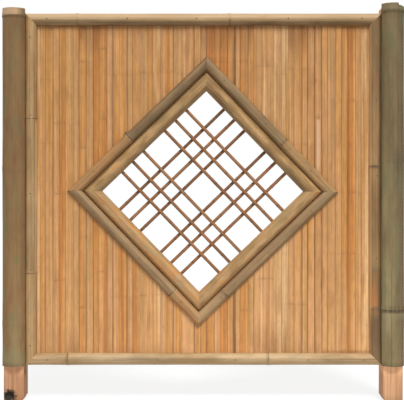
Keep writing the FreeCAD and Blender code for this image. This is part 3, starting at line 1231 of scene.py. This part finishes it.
@dataclass
class Border:
    """The four half-round trims, mitred as a picture frame round the slats."""

    dresser: Dresser
    half_width: float = 0.801
    half_height: float = 0.79
    middle: Point = (0.0, -0.007561, 0.953)
    radius: float = 0.027
    wall: float = 0.006
    uneven: float = 0.0012
    trims: dict[str, BorderTrim] = field(
        default_factory=lambda: {
            "right_trim": BorderTrim(
                rings=(-0.535, 0.102), tone=0.34, dirt=(0.05, 0.5), painted_shade_share=0.85,
                nails=(-0.7, -0.31, 0.06, 0.4, 0.69),
            ),
            "top_trim": BorderTrim(
                rings=(-0.118, 0.564), tone=0.81, dirt=(-0.1, -0.55), painted_shade_share=0.52,
                nails=(-0.71, -0.38, 0.03, 0.34, 0.7),
            ),
            "left_trim": BorderTrim(
                rings=(-0.316, 0.377), tone=0.66, dirt=(0.5, 0.9), painted_shade_share=0.12,
                nails=(-0.68, -0.33, 0.02, 0.36, 0.7),
            ),
            "bottom_trim": BorderTrim(
                rings=(-0.608, 0.291), tone=0.93, dirt=(-0.38, -0.2), painted_shade_share=0.42,
                nails=(-0.7, -0.205, 0.144, 0.47, 0.72),
            ),
        }
    )

    def stand(self, number: int) -> Matrix:
        """The place of a trim's own axes, by its number anticlockwise from the right one."""
        across = (self.half_height if number % 2 else self.half_width) - self.radius
        return Matrix.Translation(self.middle) @ turned(90 * number) @ Matrix.Translation((across, 0, 0))

    def build(self) -> None:
        """Builds the trims."""
        for number, (node, trim) in enumerate(self.trims.items()):
            half_length = self.half_width if number % 2 else self.half_height
            cane = SplitCane(
                name="fence_" + node,
                radius=self.radius,
                wall=self.wall,
                ends=(-half_length - MITRE_SPARE, half_length + MITRE_SPARE),
                rings=trim.rings,
                ring_rise=0.0015,
                ring_length=0.015,
                tone=trim.tone,
            )
            piece = cane.skin()
            cane.thicken(piece)
            cane.mitre(piece, half_length)
            self.paint_shade_and_wear(piece, node)
            Bench.place(piece, self.stand(number))
            cane.ripple(piece, self.uneven)
            self.dresser.dress(piece, BORDER_FINISH, "border_bamboo", node)

    def paint_shade_and_wear(self, piece: Piece, node: str) -> None:
        """Marks a trim's painted shade and painted highlights, which stand for how the light falls on it and
        how the posts shade it, and the left one's darker part and the right one's grey and orange parts.

        Args:
            piece: The trim, in its own axes, with its outer edge to +X.
            node: Its name.
        """
        trim, places = self.trims[node], Bench.places(piece)
        across, along = places[:, 0] / self.radius, places[:, 2]
        low, high = trim.rings
        # Painted shade: on the half of a trim turned away from the light above, next to the left culm, and in
        # the right post's shadow.
        dirt = trim.painted_shade_share * rise(across, *trim.dirt)
        if node == "right_trim":
            # Grey below the lower joint, with a scar at the upper one and an orange part between them, and a
            # painted highlight along the inner edge, against the shade there.
            grey = rise(along, low - 0.01, low - 0.03) * (0.75 + 0.2 * across)
            scar = 0.8 * hump(along, high, 0.005) * (across < 0.3)
            dirt = np.maximum(dirt, np.maximum(grey, scar))
            orange = rise(along, low, low + 0.02) * rise(along, -0.34, -0.38)
            Bench.mark(piece, {Mark.TONE: trim.tone - 0.26 * orange + 0.09 * rise(along, high, high + 0.02)})
            bare = rise(across, -0.7, -0.82)
        elif node == "left_trim":
            # Darker on the lower part between the joints, with a painted highlight along the inner edge
            # between them, against the shade there.
            inside = rise(along, low, low + 0.02) * rise(along, high, high - 0.02)
            dirt = np.maximum(dirt, 0.34 * rise(along, 0.04, 0.09) * inside)
            bare = rise(across, -0.72, -0.84) * inside
        elif node == "top_trim":
            # A painted highlight from near the middle outwards, on the upper half that faces the light.
            bare = 0.75 * rise(across, -0.18, -0.06)
        else:
            # Painted shade along the middle, where the trim turns away from the light above, and a painted
            # highlight along the lower edge, for light from the floor.
            dirt *= np.maximum(0.1, rise(across, 0.6, 0.1))
            bare = 0.7 * rise(across, 0.3, 0.7)
        Bench.mark(piece, {Mark.BARE: bare, Mark.DIRT: dirt})


@dataclass(frozen=True)
class HalfRound:
    """What the four linings of the window have in common, or its four trims.

    Values in rows of four follow the order of the window's sides.
    """

    label: str
    finish: BambooFinish
    radius: float
    wall: float
    depth: float  # of the flat side
    rings: tuple[tuple[float, ...], ...]
    tones: tuple[tuple[float, ...], ...]  # between the rings
    inner_shade: tuple[float, ...] = (0.0, 0.0, 0.0, 0.0)  # how much painted shade darkens the inner half, which faces down on the upper sides
    wear_and_highlight: tuple[float, ...] = (0.0, 0.0, 0.0, 0.0)  # how much a painted highlight lightens the inner edge, which faces up on the lower sides


@dataclass
class Window:
    """The diamond window: boards, half-round linings, half-round trims and the lattice of canes."""

    dresser: Dresser
    middle_x: float = -0.0027
    middle_z: float = 0.9434
    lean: float = 1.1
    bay_half: float = 0.803
    share: float = 0.7594  # of the bay that the window takes up
    out_of_square: float = 0.0056
    groove: float = 0.004  # between the linings and the trims
    arris: float = 0.001
    uneven: float = 0.001
    bud_side: WindowSide = WindowSide.UPPER_LEFT
    bud_rise: float = 0.006
    lining: HalfRound = HalfRound(
        label="lining",
        finish=LINING_FINISH,
        radius=0.03,
        wall=0.006,
        depth=0.000439,
        rings=((), (), (), ()),
        tones=((0.3,), (0.45,), (0.85,), (0.66,)),
        inner_shade=(0.22, 0.22, 0.05, 0.05),
    )
    trim: HalfRound = HalfRound(
        label="trim",
        finish=WINDOW_TRIM_FINISH,
        radius=0.024,
        wall=0.0055,
        depth=-0.007561,
        rings=((-0.094,), (0.07,), (0.233,), (-0.246,)),
        tones=((0.75, 0.25), (0.02, 1.0), (0.28, 1.0), (0.46, 0.24)),
        wear_and_highlight=(0.0, 0.0, 0.4, 0.4),
    )
    stick_radius: float = 0.0075
    stick_housed: float = 0.0235  # how far a lattice cane runs on past the linings' inner edges
    pitch: float = 0.067
    steps: tuple[int, ...] = (-3, -2, -1, 1, 2, 3)  # the canes' places in pitches; none is in the middle
    layers: tuple[tuple[str, float, float], ...] = (  # each with the way that its canes face, and its depth
        ("rising", 45.0, 0.024089),
        ("falling", 135.0, 0.008789),
    )
    seed: int = 11

    @property
    def trim_outer(self) -> float:
        """How far the trims' outer edges lie from the window's middle, on average."""
        return self.share * self.bay_half * math.sqrt(0.5)

    @property
    def lining_outer(self) -> float:
        """How far the linings' outer edges lie from the window's middle, on average."""
        return self.trim_outer - 2 * self.trim.radius - self.groove

    def reach(self, angle: float, mean: float) -> float:
        """How far a line at a mean distance round the window lies out on the side that faces an angle."""
        return mean + self.out_of_square if angle % 180 == 45 else mean - self.out_of_square

    def stand(self, angle: float, depth: float) -> Matrix:
        """The place of what faces an angle at a depth, with the window's lean."""
        return Matrix.Translation((self.middle_x, depth, self.middle_z)) @ turned(angle - self.lean)

    def build(self) -> None:
        """Builds the window."""
        for number, side in enumerate(WindowSide):
            pith = self.stand(side.value, 0.06) @ Matrix.Translation((0.4, 0, 0))
            board = Timber("window_board_" + side.label, self.arris, pith, 0.17 + 0.21 * number)
            board.dress(board.build(), FRAME_FINISH, "frame_timber", self.dresser)
            self.half_round(self.lining, self.lining_outer, number, side)
            self.half_round(self.trim, self.trim_outer, number, side)
        self.lattice()

    def half_round(self, kind: HalfRound, outer: float, number: int, side: WindowSide) -> None:
        """Builds one mitred side of the window from a split cane.

        Args:
            kind: Whether it is a lining or a trim.
            outer: How far the outer edges of its kind lie from the window's middle, on average.
            number: The side's number.
            side: The side.
        """
        node = "window_%s_%s" % (kind.label, side.label)
        half_length = self.reach(side.value + 90, outer)
        cane = SplitCane(
            name="fence_" + node,
            radius=kind.radius,
            wall=kind.wall,
            ends=(-half_length - MITRE_SPARE, half_length + MITRE_SPARE),
            rings=kind.rings[number],
            ring_rise=0.0021,
            ring_length=0.016,
            sections=kind.tones[number],
        )
        piece = cane.skin()
        if kind is self.trim and side is self.bud_side:
            self.bud(piece, cane.rings[0])
        cane.thicken(piece)
        inwards = -Bench.places(piece)[:, 0] / cane.radius
        # Painted shade on the inner half, and a painted highlight on the inner edge.
        dirt = kind.inner_shade[number] * rise(inwards, -0.2, 0.4)
        Bench.mark(piece, {Mark.DIRT: dirt, Mark.BARE: kind.wear_and_highlight[number] * rise(inwards, 0.15, 0.55)})
        cane.mitre(piece, half_length)
        across = self.reach(side.value, outer) - cane.radius
        Bench.place(piece, self.stand(side.value, kind.depth) @ Matrix.Translation((across, 0, 0)))
        cane.ripple(piece, self.uneven)
        self.dresser.dress(piece, kind.finish, "window_bamboo", node)

    def bud(self, skin: Piece, ring: float) -> None:
        """Swells an old bud on a joint, at the outer edge of a trim.

        Args:
            skin: The trim's open skin, in its own axes.
            ring: The place of the joint along it.
        """
        places = Bench.places(skin)
        turn = np.arctan2(-places[:, 1], places[:, 0])
        for angle, reach in ((1.1, 0.014), (0.8, 0.006), (0.5, 0.006)):
            with Bench.edited(skin, (turn < angle) & (np.abs(places[:, 2] - ring) < reach)):
                bpy.ops.transform.shrink_fatten(value=self.bud_rise / 3)

    def lattice(self) -> None:
        """Builds the lattice canes of both layers, each with joints of its own."""
        dice = random.Random(self.seed)
        for layer, angle, depth in self.layers:
            half = self.reach(angle, self.lining_outer) - 2 * self.lining.radius + self.stick_housed
            for number, step in enumerate(self.steps):
                node = "lattice_%s_%d" % (layer, number + 1)
                first = dice.uniform(-0.3, -0.2)
                cane = SplitCane(
                    name="fence_" + node,
                    radius=self.stick_radius,
                    wall=0.0,
                    ends=(-half, half),
                    rings=(first, first + dice.uniform(0.21, 0.25), first + dice.uniform(0.44, 0.5)),
                    ring_rise=0.0005,
                    ring_length=0.009,
                    station=0.09,
                    steps=18,
                    waist=0.0003,
                    tone=dice.random(),
                )
                piece = cane.skin(2 * math.pi, closed=True)
                cane.mark(piece)
                along = Matrix.Translation((0, 0, step * self.pitch)) @ Matrix.Rotation(math.pi / 2, 4, "Y")
                Bench.place(piece, self.stand(angle, depth) @ along)
                Bench.soften(piece)
                self.dresser.dress(piece, LATTICE_FINISH, "lattice_bamboo", node)


@dataclass(frozen=True)
class SlatCulm:
    """The culm that a slat was split from: the number of its stock, the height of its start, and its tone."""

    stock: int
    start: float
    tone: float


@dataclass(frozen=True)
class SlatLook:
    """How one slat looks."""

    joints: tuple[float, ...]
    joint_share: float  # how plain they show
    left_dirt: float  # how dark its edges are painted: painted shade in the seams
    right_dirt: float
    bud: float = 0.0  # the height of a bud's scar, where it has one


@dataclass
class SlatField:
    """The upright split slats, cut round the window."""

    dresser: Dresser
    window: Window
    cut_cover: float = 0.003  # how far the window's trims cover the slats' cut ends
    half_width: float = 0.8
    bottom: float = 0.17
    top: float = 1.736
    back: float = 0.000439
    crown: float = 0.0075
    count: int = 53
    whole: int = 9  # at each side of the window
    gap: float = 0.0012
    spread: float = 0.2  # of the widths about their mean
    turn: float = 2.4  # of the wave that the widths follow, in radians from slat to slat
    twist: float = 1.6  # in degrees, as the next one
    most_twist: float = 2.2
    uneven: float = 0.0014
    seed: int = 7
    stock_length: float = 2.9
    used_length: float = 1.62  # of a stock in one slat, and a little more
    new_culm: float = 0.3  # how often a slat is not from the same culm as the one to its left
    roundness: tuple[float, ...] = (0.2, 1.1, 0.45, 0.3, 0.8, 0.6)  # of each stock
    falls: tuple[Span, ...] = (  # places across a slat of unit width, each with how far its round face falls
        (0.5, 0.0036), (0.493, 0.0023), (0.472, 0.0015), (0.41, 0.0009), (0.28, 0.0004), (0.14, 0.0001),
    )
    joint_run: Span = (0.25, 0.42)
    joint_steps: tuple[Span, ...] = (  # how far up each loop of a joint lies from the last, and its thickness
        (0.006, 1.03), (0.003, 1.13), (0.002, 1.04), (0.0035, 1.1), (0.0135, 1.0),
    )
    joint_shares: tuple[float, ...] = (0.12, 0.2, 0.3, 0.65)
    # how dark the painted shade in a seam can be; each seam takes one
    seams: tuple[float, ...] = (0.0, 0.1, 0.2, 0.45, 0.7)
    dark_seam: float = 0.128  # the place across the panel of the seam with the darkest painted shade
    dark_share: float = 2.2
    pale: Span = (0.724, 0.769)  # how far out the pale slats lie
    pale_tones: Span = (1.0, 0.9)
    orange: tuple[float, ...] = (-0.487, -0.46, 0.661)  # places of orange slats across the panel
    orange_tone: float = 0.1
    bud: Span = (0.517, 1.278)  # the place of a bud's scar across the panel, and its height
    # the painted shade in the left and right seams of the slat with the bud's scar
    bud_seam_shade: Span = (1.0, 0.9)
    bud_loops: tuple[float, ...] = (
        0.03, 0.016, 0.008, 0.004, 0.0, -0.004, -0.008, -0.016, -0.03, -0.22, -0.25,
    )

    def widths(self) -> list[float]:
        """Works out the slats' widths, as the solids have them.

        Returns:
            The widths from left to right.
        """
        shares = [1 + self.spread * math.sin(self.turn * number) for number in range(self.count)]
        unit = (2 * self.half_width - self.gap * (self.count - 1)) / sum(shares)
        return [share * unit for share in shares]

    def stock(self, number: int, dice: random.Random) -> tuple[Piece, tuple[float, ...]]:
        """Builds a long split slat of unit width, with a joint every so often.

        Args:
            number: Which of the stocks it is.
            dice: Gives its joints their places.

        Returns:
            The pattern, from z = 0 upwards, and the heights of its joints.
        """
        edge = [(0.46, 0.0), (0.5, -0.0012)]
        edge += [(x, -self.crown + self.roundness[number] * fall) for x, fall in self.falls]
        outline = [(x, y, 0.0) for x, y in edge] + [(0.0, -self.crown, 0.0)]
        outline += [(-x, y, 0.0) for x, y in reversed(edge)]
        joints = []
        height, swollen = 0.0, 1.0
        with Bench.drawn("slat_stock_%d" % number, outline) as piece:
            bpy.ops.mesh.edge_face_add()
            while height < self.stock_length:
                run = dice.uniform(*self.joint_run)
                joints.append(height + run)
                for lift, swell in ((0.5 * run, 0.98), (0.5 * run - 0.011, 1.0), *self.joint_steps):
                    bpy.ops.mesh.extrude_region_move(TRANSFORM_OT_translate={"value": (0, 0, lift)})
                    height += lift
                    bpy.ops.transform.resize(value=(1, swell / swollen, 1), center_override=(0, 0, height))
                    swollen = swell
            bpy.ops.mesh.select_all(action="SELECT")
            bpy.ops.mesh.normals_make_consistent(inside=False)
        return piece, tuple(joints)

    def cutter(self) -> Piece:
        """Builds the diamond that is cut out of the slats.

        Returns:
            The diamond, in its place.
        """
        block = Bench.add(bpy.ops.mesh.primitive_cube_add, "window_block", size=1.0)
        cut = self.window.trim_outer - 2 * self.window.trim.radius + self.cut_cover
        size = (2 * self.window.reach(45, cut), 0.2, 2 * self.window.reach(135, cut), 1)
        Bench.place(block, self.window.stand(45, 0) @ Matrix.Diagonal(size))
        return block

    def culm(self, last: Optional[SlatCulm], dice: random.Random) -> SlatCulm:
        """Finds the culm that a slat was split from: neighbours often come from the same one.

        Args:
            last: The culm of the slat to its left.
            dice: Decides.

        Returns:
            The culm.
        """
        if last and dice.random() >= self.new_culm:
            return replace(last, start=last.start + dice.uniform(-0.003, 0.003))
        start = self.bottom - dice.uniform(0.02, self.stock_length - self.used_length)
        return SlatCulm(dice.randrange(len(self.roundness)), start, dice.gauss(0.48, 0.15))

    def lay(self, stock: Piece, start: float, middle: float, width: float, dice: random.Random) -> Piece:
        """Cuts a slat to length from its stock, and lays it in its place with a twist of its own.

        Args:
            stock: The stock.
            start: The height of the stock's start.
            middle: The slat's middle across the panel.
            width: Its width.
            dice: Gives it its twist.

        Returns:
            The slat.
        """
        piece = Bench.copy(stock, "slat")
        twist = max(-self.most_twist, min(self.most_twist, dice.gauss(0, self.twist)))
        uneven = Matrix.Rotation(math.radians(twist), 4, "Z") @ Matrix.Diagonal((width + self.gap, 1, 1, 1))
        Bench.place(piece, Matrix.Translation((middle, self.back, start)) @ uneven)
        Bench.saw(piece, (0, 0, self.bottom), (0, 0, -1))
        Bench.saw(piece, (0, 0, self.top), (0, 0, 1))
        return piece

    def tone(self, mean: float, middle: float, width: float, dice: random.Random) -> float:
        """Finds a slat's tone.

        Args:
            mean: Its culm's tone.
            middle: Its middle across the panel.
            width: Its width.
            dice: Gives it its own shade, apart from the slats that stand out.

        Returns:
            The tone.
        """
        tone = min(0.86, max(0.14, mean + dice.gauss(0, 0.13)))
        if self.pale[0] < abs(middle) < self.pale[1]:
            tone = self.pale_tones[middle > 0]
        if any(abs(middle - place) < width / 2 for place in self.orange):
            tone = self.orange_tone
        return tone

    def swell(self, piece: Piece, middle: float) -> None:
        """Raises the scar of a bud on a slat, in loops that are cut for it.

        Args:
            piece: The slat in its place.
            middle: Its middle across the panel.
        """
        with Bench.edited(piece):
            for lift in self.bud_loops:
                bpy.ops.mesh.select_all(action="SELECT")
                bpy.ops.mesh.bisect(plane_co=(0, 0, self.bud[1] + lift), plane_no=(0, 0, 1))
        places = Bench.places(piece)
        for reach, lift in ((0.009, 0.0007), (0.005, 0.0007)):
            near = np.hypot(places[:, 0] - middle, places[:, 2] - self.bud[1]) < reach
            with Bench.edited(piece, near & (places[:, 1] < self.back - 0.003)):
                bpy.ops.transform.translate(value=(0, -lift, 0))

    def cut(self, piece: Piece, block: Piece) -> list[Piece]:
        """Cuts the window out of a slat, and parts what is left.

        Args:
            piece: The slat in its place.
            block: The diamond that is cut out.

        Returns:
            The slat's parts.
        """
        Bench.modify(piece, "BOOLEAN", operation="DIFFERENCE", solver="EXACT", object=block)
        with Bench.edited(piece):
            bpy.ops.mesh.separate(type="LOOSE")
        return list(bpy.context.selected_objects)

    def mark(self, piece: Piece, middle: float, start: float, slat: SlatLook, tone: float) -> None:
        """Marks a slat's grain, tone and joints, and the painted shade at its ends and along its edges.

        Args:
            piece: The slat, or one of its parts, in its place.
            middle: The slat's middle across the panel.
            start: The height of the stock's start.
            slat: How the slat looks.
            tone: The tone of this part.
        """
        places = Bench.places(piece)
        across, height = places[:, 0] - middle, places[:, 2]
        own = np.stack([across + 7 * tone, places[:, 1] - self.back, height - start], axis=1)
        joint, edge = np.zeros(len(places)), across.max()
        for ring in slat.joints:
            joint = np.maximum(joint, slat.joint_share * hump(own[:, 2], ring, 0.003))
        # Painted shade where the border trims shade the slats' ends, and painted shade in the seams along
        # their edges.
        top = 0.95 * rise(height, self.top - 0.06, self.top - 0.044)
        foot = 0.6 * rise(height, self.bottom + 0.061, self.bottom + 0.053)
        dirt = np.maximum(top, foot)
        for way, share in ((-across, slat.left_dirt), (across, slat.right_dirt)):
            wide = 0.002 + 0.003 * share
            dirt = np.maximum(dirt, share * rise(way, edge - wide, edge - 0.3 * wide))
        if slat.bud and height.mean() > self.window.middle_z:
            # A dark ring round the bud's scar, and a pale strip below it.
            below = slat.bud - height
            joint = np.maximum(joint, 0.8 * hump(np.hypot(below, across), 0.006, 0.0035))
            strip = rise(below, 0.006, 0.016) * rise(below, 0.26, 0.23)
            Bench.mark(piece, {Mark.BARE: strip * rise(np.abs(across), 0.0096, 0.0036)})
        marks = {Mark.GRAIN: own, Mark.TONE: tone, Mark.JOINT: joint, Mark.DIRT: np.minimum(1.0, dirt)}
        Bench.mark(piece, marks)

    def group(self, number: int, part: Piece) -> str:
        """Finds the solid that a slat, or a part of one, stands for.

        Args:
            number: The slat's number from the left, from 0.
            part: The slat, or one of its parts.

        Returns:
            The solid's name.
        """
        if number < self.whole:
            return "slat_left_%d" % (number + 1)
        if number >= self.count - self.whole:
            return "slat_right_%d" % (number - self.count + self.whole + 1)
        row = "above" if Bench.places(part)[:, 2].mean() > self.window.middle_z else "below"
        side = "left" if number < self.count // 2 else "right"
        return "slats_%s_window_%s" % (row, side)

    def build(self) -> None:
        """Builds every slat, in the groups that the solids have."""
        dice = random.Random(self.seed)
        stocks = [self.stock(number, dice) for number in range(len(self.roundness))]
        block = self.cutter()
        groups: dict[str, list[Piece]] = {}
        culm: Optional[SlatCulm] = None
        left, seam = -self.half_width, 0.0
        for number, width in enumerate(self.widths()):
            middle = left + width / 2
            left += width + self.gap
            culm = self.culm(culm, dice)
            stock, joints = stocks[culm.stock]
            piece = self.lay(stock, culm.start, middle, width, dice)
            tone = self.tone(culm.tone, middle, width, dice)
            # The painted shade in the seams on each side of the slat.
            last, seam = seam, dice.choice(self.seams)
            if abs(left - self.dark_seam) < width / 2:
                seam = self.dark_share
            slat = SlatLook(joints, dice.choice(self.joint_shares), last, seam)
            if abs(middle - self.bud[0]) < width / 2:
                slat = SlatLook(joints, slat.joint_share, *self.bud_seam_shade, self.bud[1])
                self.swell(piece, middle)
            touched = self.whole - 1 <= number <= self.count - self.whole
            parts = self.cut(piece, block) if touched else [piece]
            for part in parts:
                shift = dice.gauss(0, 0.07) * (len(parts) > 1)
                self.mark(part, middle, culm.start, slat, min(1.0, max(0.0, tone + shift)))
                groups.setdefault(self.group(number, part), []).append(part)
        Bench.scrap(block, *(stock for stock, _ in stocks))
        for node, parts in groups.items():
            piece = Bench.join(parts, "fence_" + node)
            Bench.roughen(piece, "split", 0.11, self.uneven, direction="Y")
            Bench.soften(piece)
            self.dresser.dress(piece, SLAT_FINISH, "slat_bamboo", node)


@dataclass
class Nails:
    """The nail heads on the crests of the trims."""

    dresser: Dresser
    border: Border
    window: Window
    radius: float = 0.0032
    height: float = 0.001
    sunk: float = 0.0006
    window_places: tuple[float, ...] = (-0.27, 0.02, 0.29)  # along each of the window's trims

    def head(self) -> Piece:
        """Builds one domed nail head that faces -Y.

        Returns:
            The head, at the origin.
        """
        circle = bpy.ops.mesh.primitive_circle_add
        piece = Bench.add(circle, "nail_head", vertices=14, radius=self.radius, fill_type="NGON")
        with Bench.edited(piece):
            bpy.ops.mesh.extrude_region_move(TRANSFORM_OT_translate={"value": (0, 0, 0.7 * self.height)})
            bpy.ops.mesh.inset(thickness=0.2 * self.radius, depth=0.25 * self.height)
            bpy.ops.mesh.inset(thickness=0.4 * self.radius, depth=0.2 * self.height)
            bpy.ops.mesh.select_all(action="SELECT")
            bpy.ops.mesh.normals_make_consistent(inside=False)
        Bench.place(piece, Matrix.Rotation(math.pi / 2, 4, "X"))
        return piece

    def build(self) -> None:
        """Builds the nails."""
        rows = [
            (self.border.stand(number), self.border.radius, trim.nails)
            for number, trim in enumerate(self.border.trims.values())
        ]
        radius = self.window.trim.radius
        for side in WindowSide:
            across = self.window.reach(side.value, self.window.trim_outer) - radius
            stand = self.window.stand(side.value, self.window.trim.depth) @ Matrix.Translation((across, 0, 0))
            rows.append((stand, radius, self.window_places))
        pattern, heads = self.head(), []
        for stand, crest, places in rows:
            for place in places:
                head = Bench.copy(pattern, "nail")
                Bench.place(head, Matrix.Translation(stand @ Vector((0, self.sunk - crest, place))))
                heads.append(head)
        Bench.scrap(pattern)
        piece = Bench.join(heads, "fence_nails")
        Bench.soften(piece)
        self.dresser.dress(piece, NailFinish())


@dataclass
class Studio:
    """A plain pale floor, soft light from above and a little to the right, a low reflector and the camera."""

    sun_height: float = 52.0
    sun_right: float = 12.0
    sun_strength: float = 2.5
    sun_softness: float = 20.0
    fill: float = 0.4
    reflector_power: float = 5.0
    reflector_size: Span = (2.6, 0.3)
    reflector_place: Point = (0.1, -0.95, 0.1)
    reflector_turn: float = 98.0
    floor_size: float = 60.0
    floor_glow: float = 0.82
    floor_seen: Colour = (0.25, 0.25, 0.25, 1)
    floor_plain: Colour = (0.42, 0.42, 0.42, 1)
    camera_place: Point = (-0.00585, -3.795, 0.9045)
    lens: float = 75.0
    sensor: float = 36.0

    def build(self) -> None:
        """Sets the studio up."""
        scene = bpy.context.scene
        scene.view_settings.view_transform = "Standard"
        self.world(scene)
        self.floor()
        self.light()
        stand = {"location": self.camera_place, "rotation": (math.pi / 2, 0, 0)}
        camera = Bench.add(bpy.ops.object.camera_add, "front_camera", **stand)
        camera.data.lens = self.lens
        camera.data.sensor_width = self.sensor
        scene.camera = camera

    def looked_at(self, graph: Graph) -> Socket:
        """Finds whether a ray comes from the camera, straight, off gloss or through glass.

        Args:
            graph: The nodes of the world or the floor.

        Returns:
            A socket that is 1 for such a ray and 0 for others.
        """
        ray = graph.node("LightPath").outputs
        either = graph.math("MAXIMUM", ray["Is Camera Ray"], ray["Is Glossy Ray"])
        return graph.math("MAXIMUM", either, ray["Is Transmission Ray"])

    def world(self, scene: bpy.types.Scene) -> None:
        """Makes it white all round for the camera, with an even fill for the panel.

        Args:
            scene: The scene.
        """
        scene.world = bpy.data.worlds.new("studio")
        graph = Graph(scene.world)
        level = graph.node("MapRange", self.looked_at(graph), 0.0, 1.0, self.fill, 1.0)
        background = graph.tree.nodes["Background"].inputs
        graph.feed(background["Color"], WHITE)
        graph.feed(background["Strength"], level.outputs["Result"])

    def floor(self) -> None:
        """Builds a wide floor, white to the camera apart from the panel's shadow."""
        floor = Bench.add(bpy.ops.mesh.primitive_plane_add, "studio_floor", size=self.floor_size)
        graph = Graph(bpy.data.materials.new("pale_floor"))
        nodes = graph.tree.nodes
        glow = graph.node("Emission", WHITE, self.floor_glow)
        seen = graph.node("BsdfDiffuse", self.floor_seen)
        plain = graph.node("BsdfDiffuse", self.floor_plain)
        bright = graph.node("AddShader", glow.outputs[0], seen.outputs[0])
        either = graph.node("MixShader", self.looked_at(graph), plain.outputs[0], bright.outputs[0])
        graph.feed(nodes["Material Output"].inputs["Surface"], either.outputs[0])
        nodes.remove(nodes["Principled BSDF"])
        floor.data.materials.append(graph.owner)

    def light(self) -> None:
        """Sets one soft sun above, in front and to the right, and a long reflector low in front."""
        turn = (math.radians(90 - self.sun_height), 0, math.radians(self.sun_right))
        sun = Bench.add(bpy.ops.object.light_add, "soft_sun", type="SUN", location=(1, -2, 3), rotation=turn)
        sun.data.energy = self.sun_strength
        sun.data.angle = math.radians(self.sun_softness)
        stand = {"location": self.reflector_place, "rotation": (math.radians(self.reflector_turn), 0, 0)}
        reflector = Bench.add(bpy.ops.object.light_add, "low_reflector", type="AREA", **stand)
        reflector.data.shape = "RECTANGLE"
        reflector.data.size, reflector.data.size_y = self.reflector_size
        reflector.data.energy = self.reflector_power


def main() -> None:
    """Builds the panel piece by piece, and the studio round it."""
    logging.basicConfig(level=logging.INFO, format="%(name)s: %(message)s")
    dresser = Dresser()
    border, window = Border(dresser), Window(dresser)
    Studio().build()
    Posts(dresser).build()
    Rails(dresser).build()
    border.build()
    window.build()
    SlatField(dresser, window).build()
    Nails(dresser, border, window).build()
    Bench.pick()
    LOG.info("%d pieces dressed", dresser.count)


if __name__ == "__main__":
    main()
